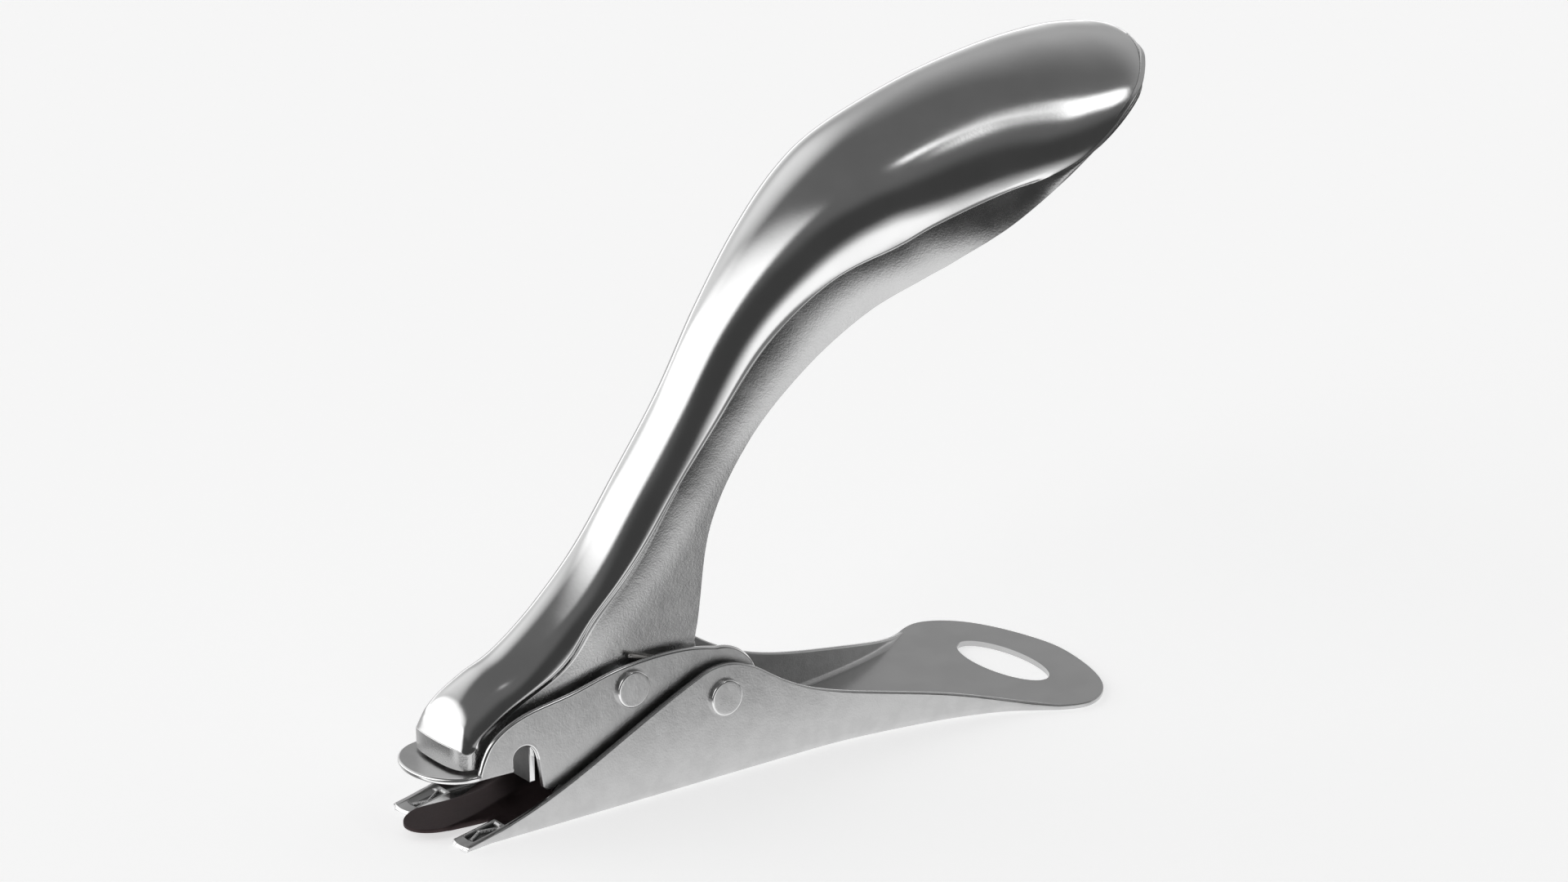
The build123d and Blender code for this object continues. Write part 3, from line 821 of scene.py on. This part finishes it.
def handle_section(u):
    """Points of one section from the near rim over the crown to the far rim."""
    top_x, top_z, rim_x, rim_z, crease, crease_half, rim_half = station_at(u)
    length = hypot(rim_x - top_x, rim_z - top_z)
    down = ((rim_x - top_x) / length, (rim_z - top_z) / length)
    drop = max(crease * length, LEAST_DROP)
    radius = (crease_half**2 + drop**2) / (2 * drop)
    reach = acos(max(-1.0, min(1.0, (radius - drop) / radius)))
    boxy = 1 - smooth_step(u, *BOXY_FADE)
    nose = 1 - smooth_step(u, *NOSE_FADE)
    skirt = length - drop
    reach_down = min(SKIRT_HOLLOW_REACH, skirt)
    begun, grown = smooth_step(u, *HOLLOW_START), smooth_step(u, *HOLLOW_GROWTH)
    hollow = SKIRT_HOLLOW * reach_down * (HOLLOW_SHARES[0] * begun + HOLLOW_SHARES[1] * grown)
    pad_end = smooth_step(u, *PAD_END)
    pad_bead = PAD_END_BEAD * pad_end * (1 - smooth_step(u, *PAD_BEAD_FADE))
    depth = max(hollow, pad_bead)
    bead = min(CREASE_BEAD * (1 - smooth_step(u, *CREASE_BEAD_FADE)) + pad_bead, depth)
    bead_share = BEAD_SHARE + PAD_BEAD_SHARE * pad_end
    box_power = BOX_POWER + NOSE_BOX_POWER * nose

    def place(y, w, side_share):
        back = nose * nose_rounding(side_share)
        return (top_x + down[0] * w + back, y, top_z + down[1] * w)

    near = []
    for k in range(SKIRT_STEPS):
        s = (1 - k / SKIRT_STEPS) ** SKIRT_CROWDING
        half = crease_half + (rim_half - crease_half) * s
        dip = depth * max(1 - s * skirt / reach_down, 0.0) ** 2
        near.append(place(-(half - dip), drop + skirt * s, 1.0))
    crown = []
    for share in CROWN_SHARES:
        a = reach * share
        y = crease_half * sin(a) / sin(reach)
        round_w = drop * (1 - cos(a)) / (1 - cos(reach))
        boxy_w = drop * abs(y / crease_half) ** box_power
        tuck = bead * max(0.0, (abs(share) - 1 + bead_share) / bead_share) ** 2
        side_share = min(abs(y) / crease_half, 1.0)
        y *= 1 - tuck / crease_half
        crown.append(place(-y, round_w + (boxy_w - round_w) * boxy, side_share))
    far = [(x, -y, z) for x, y, z in reversed(near)]
    return round_creases(np.array(near + crown + far))


def nose_rounding(side_share):
    """How far back a nose section stands at a share of its half width, for rounded front corners."""
    corner = 1 - (1 - side_share**NOSE_CORNER_POWER) ** (1 / NOSE_CORNER_POWER)
    return NOSE_RIDGE + NOSE_CORNER * corner


def round_creases(section):
    """Rounds the two creases by evening out the few points round each."""
    moved = section.copy()
    for middle in (SKIRT_STEPS, len(section) - 1 - SKIRT_STEPS):
        for k in range(middle - 1, middle + 2):
            moved[k] = (section[k - 1] + 2 * section[k] + section[k + 1]) / 4
    return moved


def front_wall_rows(section):
    """Rows of the front wall, from its lower edge up to the ridge, where it turns into the crown."""
    ridge = section[SKIRT_STEPS:len(section) - SKIRT_STEPS]
    floor_z = section[0][2]
    half = ridge[:, 1].max()
    turn = NOSE_RIDGE * (1 - (ridge[:, 1] / half) ** 4)
    rows = []
    for k in range(SKIRT_STEPS):
        share = (section[k][2] - floor_z) / (ridge[0][2] - floor_z)
        row = ridge.copy()
        row[:, 0] -= turn
        row[:, 2] = floor_z + (ridge[:, 2] - turn - floor_z) * share
        row[0] = section[k]
        row[-1] = section[-1 - k]
        rows.append(row)
    for a in np.linspace(0, pi / 2, 6):
        row = ridge.copy()
        row[:, 0] -= turn * cos(a)
        row[:, 2] -= turn * (1 - sin(a))
        rows.append(row)
    return rows


def handle_rows():
    """Places along the stations, closer together at the nose and the tip."""
    last = len(STATIONS) - 1
    nose = list(np.linspace(0, NOSE_UNTIL, NOSE_ROWS))
    body = list(np.linspace(NOSE_UNTIL, last - 1, BODY_ROWS))[1:]
    tip = list(last - 1 + np.sin(np.linspace(0, pi / 2, TIP_ROWS))[1:])
    return nose + body + tip


def grid_faces(rows, first):
    """Faces between rows of equally many points, whose vertices are numbered from first."""
    width = len(rows[0])
    faces = []
    for i in range(len(rows) - 1):
        for k in range(width - 1):
            a = first + i * width + k
            faces.append([a, a + width, a + width + 1, a + 1])
    return faces


def make_handle():
    """Handle of sections along the stations, closed by a wall at the front and open underneath."""
    sections = [handle_section(u) for u in handle_rows()]
    width = len(sections[0])
    wall = front_wall_rows(sections[0])
    vertices = [tuple(p) for row in sections + wall for p in row]
    faces = grid_faces(sections, 0)
    crown_from = SKIRT_STEPS - 2
    slots = [0 if crown_from <= k % (width - 1) < width - 1 - crown_from else 1 for k in range(len(faces))]
    wall_faces = grid_faces(wall, len(sections) * width)
    turn_from = (SKIRT_STEPS + 1) * (len(wall[0]) - 1)
    slots += [1 if k < turn_from else 0 for k in range(len(wall_faces))]
    faces += wall_faces
    # the tip closes on the last section
    last = len(sections) - 1
    faces.append([last * width + k for k in range(width)])
    slots.append(0)
    handle = mesh_object("handle_sheet", vertices, faces, [MIRROR, SKIRT], slots, WELD * MM)
    for polygon in handle.data.polygons:
        polygon.use_smooth = True
    thick = handle.modifiers.new("sheet", "SOLIDIFY")
    thick.thickness = SHEET * MM
    thick.offset = -1.0
    thick.use_even_offset = False
    thick.use_quality_normals = True
    apply_modifiers(handle)
    drill(handle, FRONT_PIVOT, RIVET_RADIUS + LOOSE_FIT, SKIRT_HALF + 1)
    drill(handle, TONGUE_RIVET, TONGUE_RIVET_HOLE, SKIRT_HALF + 1)
    handle.data.set_sharp_from_angle(angle=radians(ROUND_SHARP_DEGREES))
    return handle


handle = make_handle()
stand_for(handle, "handle_shell", "handle")

# ---- lifting tongue
TONGUE_TOP = [(-54, 1.85), (-48, 2.25), (-41, 2.7), (-35, 4.1)]
TONGUE_UNDER = [(-54, 1.35), (-48, 1.5), (-41, 1.75), (-35, 2.9)]
TONGUE_TOP_REAR = (-19, 8.9)
TONGUE_UNDER_REAR = (-19, 7.7)
TONGUE_TIP_X = -53.4
TIP_ROUND_X = -47.5
TONGUE_HALF = 4.65
SHOULDER_X = (-35.2, -31.5)
SHOULDER_HALF = 7.8
ROOT_X = (-30.0, -20.0)
ROOT_HALF = 5.7
TONGUE_STEP = 0.5
TONGUE_CREASE = 4.55
TONGUE_CREASE_IN = 1.75
FLANK_SLOPE = 0.42
FLANK_FADE = (-31, -28)
TONGUE_ROUNDING = 0.12
CHEEK_OUTER = SKIRT_HALF - SHEET - 0.05
CHEEK_THICKNESS = 0.8


def flank(x, y):
    """How far the side of the tongue slopes down, outside the crease on its upper face."""
    crease = TONGUE_CREASE - TONGUE_CREASE_IN * smooth_step(x, -50, -37)
    return FLANK_SLOPE * max(abs(y) - crease, 0.0) * (1 - smooth_step(x, *FLANK_FADE))


def make_tongue():
    """Flat blade with shoulders, and two cheeks that stand inside the handle's skirts."""
    top_line = joined(spline(TONGUE_TOP, (1, 0.05), (1, 0.28)), [TONGUE_TOP_REAR])
    under_line = joined(spline(TONGUE_UNDER, (1, 0.05), (1, 0.28)), [TONGUE_UNDER_REAR])
    top_x, top_z = zip(*top_line)
    under_x, under_z = zip(*under_line)
    flare = spline([(-42, TONGUE_HALF), (-38, 6.3), (SHOULDER_X[0], SHOULDER_HALF)], (1, 0), (1, 0.4), 0.5)
    rear = [(SHOULDER_X[1], SHOULDER_HALF), (ROOT_X[0], ROOT_HALF), (ROOT_X[1], ROOT_HALF)]
    sides = joined([(TIP_ROUND_X, TONGUE_HALF)], flare, rear)
    side_x, side_y = zip(*sides)
    across = [sin(a) for a in np.linspace(-pi / 2, pi / 2, 41)]
    rows = []
    for s in np.linspace(0, 1, 16)[:-1]:
        reach = (TIP_ROUND_X - TONGUE_TIP_X) * (1 - s)
        rows.append([(TIP_ROUND_X - reach * (max(0.0, 1 - v * v)) ** 0.5, TONGUE_HALF * v) for v in across])
    body_x = np.concatenate([np.arange(TIP_ROUND_X, ROOT_X[1], TONGUE_STEP), SHOULDER_X, ROOT_X])
    for x in np.unique(body_x):
        half = float(np.interp(x, side_x, side_y))
        rows.append([(x, half * v) for v in across])
    vertices = []
    faces = []
    n = len(across)
    for line_x, line_z in ((top_x, top_z), (under_x, under_z)):
        for row in rows:
            for x, y in row:
                z = float(np.interp(x, line_x, line_z)) - flank(x, y)
                vertices.append((x, y, z))
    half_count = len(rows) * n
    for i in range(len(rows) - 1):
        for k in range(n - 1):
            a = i * n + k
            faces.append([a, a + 1, a + n + 1, a + n])
            b = a + half_count
            faces.append([b, b + n, b + n + 1, b + 1])
    rim = list(range(n))
    rim += [i * n + n - 1 for i in range(1, len(rows))]
    rim += [(len(rows) - 1) * n + k for k in reversed(range(n - 1))]
    rim += [i * n for i in reversed(range(1, len(rows) - 1))]
    for a, b in zip(rim, rim[1:] + rim[:1]):
        faces.append([a, a + half_count, b + half_count, b])
    tongue = mesh_object("tongue_plate", vertices, faces, [DARK, DARK_EDGE])
    cheek_line = joined(
        [(-30, 4.6), (-19.2, 7.9), (-12.6, 16.0)],
        arc_through((-12.2, 19.1), (-14.5, 23.1), (-18.5, 23.4), 20),
        [(-27.2, 21.5), (-30, 6.0)],
    )
    for side in (-1, 1):
        low, high = sorted((side * CHEEK_OUTER, side * (CHEEK_OUTER - CHEEK_THICKNESS)))
        cheek = prism("cheek", cheek_line, low, high, [DARK, DARK_EDGE])
        boolean(tongue, cheek, "UNION")
    drill(tongue, FRONT_PIVOT, RIVET_RADIUS + LOOSE_FIT, SKIRT_HALF)
    drill(tongue, TONGUE_RIVET, TONGUE_RIVET_HOLE, SKIRT_HALF)
    return soften(tongue, TONGUE_ROUNDING, 2, 1, 40)


tongue = make_tongue()
stand_for(tongue, "lifting_tongue", "handle")

# ---- rivets
RIVET_ROUND_OVER = 0.3


def make_rivet(name, pivot, head_face):
    """Rivet with two flat heads whose rims are rounded over."""
    seat = head_face - RIVET_HEAD_HEIGHT
    corner_centre = (RIVET_HEAD_RADIUS - RIVET_ROUND_OVER, head_face - RIVET_ROUND_OVER)
    corner = arc(corner_centre, RIVET_ROUND_OVER, 0, 90, 6)
    face = [(r, head_face) for r in (2.4, 1.6, 0.8, 0.2)]
    half = [(RIVET_RADIUS, 0.0), (RIVET_RADIUS, seat), (RIVET_HEAD_RADIUS, seat), *corner, *face]
    profile = [(r, -y) for r, y in reversed(half)] + half[1:]
    rivet = lathe(name, profile, pivot, [RIVET, EDGE_HIGHLIGHT])
    for polygon in rivet.data.polygons:
        polygon.use_smooth = True
        away = abs(polygon.center.y / MM)
        # the heads' rounded rims take the painted highlight
        if seat < away < head_face - 0.002:
            polygon.material_index = 1
    rivet.data.set_sharp_from_angle(angle=radians(ROUND_SHARP_DEGREES))
    return rivet


rear_rivet = make_rivet("rear_rivet_pin", REAR_PIVOT, BASE_HALF + RIVET_HEAD_HEIGHT)
stand_for(rear_rivet, "rear_rivet", "base")
front_rivet = make_rivet("front_rivet_pin", FRONT_PIVOT, JAW_HALF + RIVET_HEAD_HEIGHT)
stand_for(front_rivet, "front_rivet", "jaw")

# ---- torsion springs
WIRE_RADIUS = 0.4
COIL_PITCH = 0.85
COIL_TURNS = 5
COIL_STEPS = 40
LEG_STEP = 0.6
BUSH_RADIUS = RIVET_RADIUS + CLOSE_FIT + BUSH_WALL
HANDLE_COIL = 3.9
HANDLE_COIL_Y = -2.6
HANDLE_LEGS = (17.0, 18.4)
JAW_COIL = 3.7
JAW_COIL_Y = -7.0
JAW_LEGS = (18.5, 17.0)
JAW_LEG_DEGREES = 30


def leg_steps(length):
    """Distances from the coil at which a leg has points."""
    return (*np.arange(LEG_STEP, length, LEG_STEP), length)


def spring_path(pivot, coil_radius, start_degrees, turns, near_y, legs, turn):
    """Centre line of a torsion spring round an axis along Y, with a straight leg at each end.

    legs are the lengths of the first and the last leg, and turn is 1 or -1, its sense.
    """
    count = int(turns * COIL_STEPS)
    coil = []
    for k in range(count + 1):
        share = turns * k / count
        a = radians(start_degrees) + turn * 2 * pi * share
        x, z = pivot[0] + coil_radius * cos(a), pivot[1] + coil_radius * sin(a)
        coil.append((x, near_y + COIL_PITCH * share, z))
    coil = np.array(coil)
    first = coil[0] - coil[1]
    last = coil[-1] - coil[-2]
    first /= np.linalg.norm(first)
    last /= np.linalg.norm(last)
    lead_in = [coil[0] + first * s for s in leg_steps(legs[0])][::-1]
    lead_out = [coil[-1] + last * s for s in leg_steps(legs[1])]
    return np.concatenate([lead_in, coil, lead_out])


# One leg of each spring lies against the other rivet's bush, on a line that touches both circles.
pivot_dx = REAR_PIVOT[0] - FRONT_PIVOT[0]
pivot_dz = REAR_PIVOT[1] - FRONT_PIVOT[1]
pivot_gap = hypot(pivot_dx, pivot_dz)
pivot_slope = atan2(pivot_dz, pivot_dx) * 180 / pi
wire_seat = WIRE_RADIUS + 0.05
handle_leg = pivot_slope - acos((HANDLE_COIL + BUSH_RADIUS + wire_seat) / pivot_gap) * 180 / pi
jaw_leg = pivot_slope + acos((BUSH_RADIUS + wire_seat - JAW_COIL) / pivot_gap) * 180 / pi
handle_turns = COIL_TURNS + (handle_leg + 180) / 360
jaw_turns = COIL_TURNS + (jaw_leg - JAW_LEG_DEGREES) / 360

handle_wire = spring_path(FRONT_PIVOT, HANDLE_COIL, 180, handle_turns, HANDLE_COIL_Y, HANDLE_LEGS, 1)
handle_spring = tube("handle_spring_wire", handle_wire, WIRE_RADIUS, [WIRE])
jaw_wire = spring_path(REAR_PIVOT, JAW_COIL, jaw_leg, jaw_turns, JAW_COIL_Y, JAW_LEGS, -1)
jaw_spring = tube("jaw_spring_wire", jaw_wire, WIRE_RADIUS, [WIRE])
for piece, node in ((handle_spring, "handle_spring"), (jaw_spring, "jaw_spring")):
    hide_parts(node)
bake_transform(handle_spring)
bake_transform(jaw_spring)

# ---- carried-over nodes
for node in ("rear_bush", "front_bush", "rear_washers", "front_washers", "tongue_rivets"):
    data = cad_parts[node].data
    data.materials.clear()
    data.materials.append(RIVET if node == "tongue_rivets" else ZINC)

# ---- floor, light
PALE = 0.93
FLOOR_RADIUS = 6000
FLOOR_SIDES = 96
FLOOR_Z = -0.02
FLOOR_GLOW = 0.60
CARD_HALF = (160, 110)
CARD_Z = -0.01
CARD_GLOW = 0.95
CARD_SIDE_FADE = (4 * MM, 42 * MM)
CARD_FRONT_FADE = (-62 * MM, -48 * MM)


def make_floor():
    """Round pale floor, lit mostly from within so that only soft contact shadows show on it."""
    angles = [2 * pi * k / FLOOR_SIDES for k in range(FLOOR_SIDES)]
    vertices = [(FLOOR_RADIUS * cos(a), FLOOR_RADIUS * sin(a), FLOOR_Z) for a in angles]
    material, _, shader = new_material("floor_white")
    set_inputs(shader, Base_Color=(0.8, 0.8, 0.8, 1), Roughness=0.9, Specular_IOR_Level=0.0)
    set_inputs(shader, Emission_Color=(1, 1, 1, 1), Emission_Strength=FLOOR_GLOW)
    floor = mesh_object("floor", vertices, [list(range(FLOOR_SIDES))], [material])
    floor.visible_glossy = False


def make_card():
    """White card under the object that only its reflections see. It fades out away from the object."""
    half_x, half_y = CARD_HALF
    signs = ((-1, -1), (1, -1), (1, 1), (-1, 1))
    corners = [(i * half_x, j * half_y, CARD_Z) for i, j in signs]
    material, tree, shader = new_material("card_white")
    link = tree.links.new
    tree.nodes.remove(shader)
    place = add_node(tree, "NewGeometry").outputs["Position"]
    split = add_node(tree, "SeparateXYZ")
    link(place, split.inputs[0])
    away = math(tree, "SUBTRACT", math(tree, "ABSOLUTE", split.outputs[1]), BASE_HALF * MM)
    cover = remap(tree, away, *CARD_SIDE_FADE, 1.0, 0.0, True)
    cover = math(tree, "MULTIPLY", cover, remap(tree, split.outputs[0], *CARD_FRONT_FADE, 0.0, 1.0, True))
    glow = add_node(tree, "Emission", Strength=CARD_GLOW)
    clear = add_node(tree, "BsdfTransparent")
    mixed = add_node(tree, "MixShader")
    link(cover, mixed.inputs[0])
    link(clear.outputs[0], mixed.inputs[1])
    link(glow.outputs[0], mixed.inputs[2])
    link(mixed.outputs[0], tree.nodes["Material Output"].inputs["Surface"])
    card = mesh_object("card", corners, [[0, 1, 2, 3]], [material])
    card.visible_camera = False
    card.visible_diffuse = False
    card.visible_shadow = False


make_floor()
make_card()

# strengths of what the metal reflects
CEILING = (0.050, 0.125)
WALL = 0.36
WALL_FOOT = 0.55
SOFTBOX = 1.25
GLOW = 0.42
LOW_FRONT = (0.20, 1.15)
LOW_REAR = 0.35
CORNER = 0.22
# strip lamps: both ends as azimuth and elevation, half width in degrees, strength
LAMPS = (((24, 44), (42, 58), 4.5, 1.7), ((6, 55), (24, 56.5), 2.6, 1.3))


def cone(degrees):
    """Cosine that bounds a cone of this half angle."""
    return cos(radians(degrees))


def make_world():
    """Studio seen in the metal: bright softbox to the left, dark front, grey ceiling and back."""
    world = bpy.data.worlds.new("studio")
    world.use_nodes = True
    tree = world.node_tree
    link = tree.links.new
    background = tree.nodes["Background"]
    set_inputs(background, Color=(1, 1, 1, 1))
    place = add_node(tree, "TexCoord").outputs["Generated"]
    split = add_node(tree, "SeparateXYZ")
    link(place, split.inputs[0])
    x, y, z = split.outputs
    level = math(tree, "SQRT", math(tree, "ADD", math(tree, "MULTIPLY", x, x), math(tree, "MULTIPLY", y, y)))
    level = math(tree, "MAXIMUM", level, 0.001)

    def along(vector):
        """Cosine of the angle between the direction looked in and a vector."""
        unit = Vector(vector).normalized()
        return plus(*(times(part, unit[i]) for i, part in enumerate((x, y, z))))

    def facing(azimuth):
        """The same in plan, towards an azimuth in degrees: 0 is -Y and 90 is +X."""
        a = radians(azimuth)
        return math(tree, "DIVIDE", along((sin(a), -cos(a), 0)), level)

    def times(*values):
        total = values[0]
        for v in values[1:]:
            total = math(tree, "MULTIPLY", total, v)
        return total

    def plus(*values):
        total = values[0]
        for v in values[1:]:
            total = math(tree, "ADD", total, v)
        return total

    def fade(value, low, high, to_low=0.0, to_high=1.0):
        """Soft step, which may also run downwards, from low to high."""
        return remap(tree, value, low, high, to_low, to_high, True)

    def direction(azimuth, elevation):
        a, e = radians(azimuth), radians(elevation)
        return Vector((sin(a) * cos(e), -cos(a) * cos(e), sin(e)))

    def lamp(start, end, half_width, strength):
        """Soft-edged strip lamp between two directions, each given as azimuth and elevation."""
        start, end = direction(*start), direction(*end)
        middle = (start + end).normalized()
        across = start.cross(end).normalized()
        half_length = start.angle(end) / 2
        side = math(tree, "ABSOLUTE", along(across))
        length = math(tree, "ABSOLUTE", along(across.cross(middle)))
        shape = times(
            fade(side, sin(radians(half_width * 1.4)), sin(radians(half_width * 0.5))),
            fade(length, sin(half_length * 1.25), sin(half_length * 0.6)),
            fade(along(middle), 0.5, 0.7),
        )
        return times(shape, strength)

    ceiling = fade(z, 0.38, 0.62, *CEILING)
    # grey back wall, lighter towards the floor, that reaches round to the right
    wall_share = fade(facing(110), cone(72), cone(48))
    left_share = fade(facing(168), cone(45), cone(12))
    wall_share = math(tree, "MAXIMUM", wall_share, left_share)
    wall = plus(remap(tree, z, 0.45, 0.92, WALL, 0.0), fade(z, 0.30, -0.05, 0.0, WALL_FOOT))
    back = times(wall_share, wall)
    # softbox to the left, up to a slope and from a slanting edge on
    box_side = along((-0.996, -0.087, 0.0))
    slope = math(tree, "DIVIDE", z, math(tree, "MAXIMUM", box_side, 0.02))
    left = times(fade(slope, 1.6, 0.8), fade(along((-0.177, 0.853, 0.491)), -0.07, 0.12), SOFTBOX)
    # weak round light to the rear left
    glow = times(fade(along(direction(-168, 33)), cone(32), cone(6)), GLOW)
    lamps = plus(*(lamp(*each) for each in LAMPS))
    upper = plus(ceiling, back, left, glow, lamps)
    # below the horizon: bright on the camera's side with a darker corner far down, weaker behind
    lower = fade(facing(-43), cone(80), cone(64), *LOW_FRONT)
    lower = times(lower, fade(z, -0.06, -0.30, 0.30, 1.0))
    corner = times(fade(facing(-50), cone(58), cone(36)), fade(z, -0.50, -0.36))
    lower = times(lower, remap(tree, corner, 0.0, 1.0, 1.0, CORNER))
    lower = plus(lower, times(fade(facing(150), 0.3, 0.8), LOW_REAR))
    horizon = fade(z, -0.10, 0.035)
    total = plus(times(upper, horizon), times(lower, math(tree, "SUBTRACT", 1.0, horizon)))
    link(total, background.inputs["Strength"])
    plain = add_node(tree, "Background", Color=(1, 1, 1, 1), Strength=PALE)
    chosen = add_node(tree, "MixShader")
    ray = add_node(tree, "LightPath")
    link(ray.outputs["Is Camera Ray"], chosen.inputs[0])
    link(background.outputs[0], chosen.inputs[1])
    link(plain.outputs[0], chosen.inputs[2])
    link(chosen.outputs[0], tree.nodes["World Output"].inputs["Surface"])
    bpy.context.scene.world = world


make_world()
bpy.context.scene.view_settings.view_transform = "Standard"
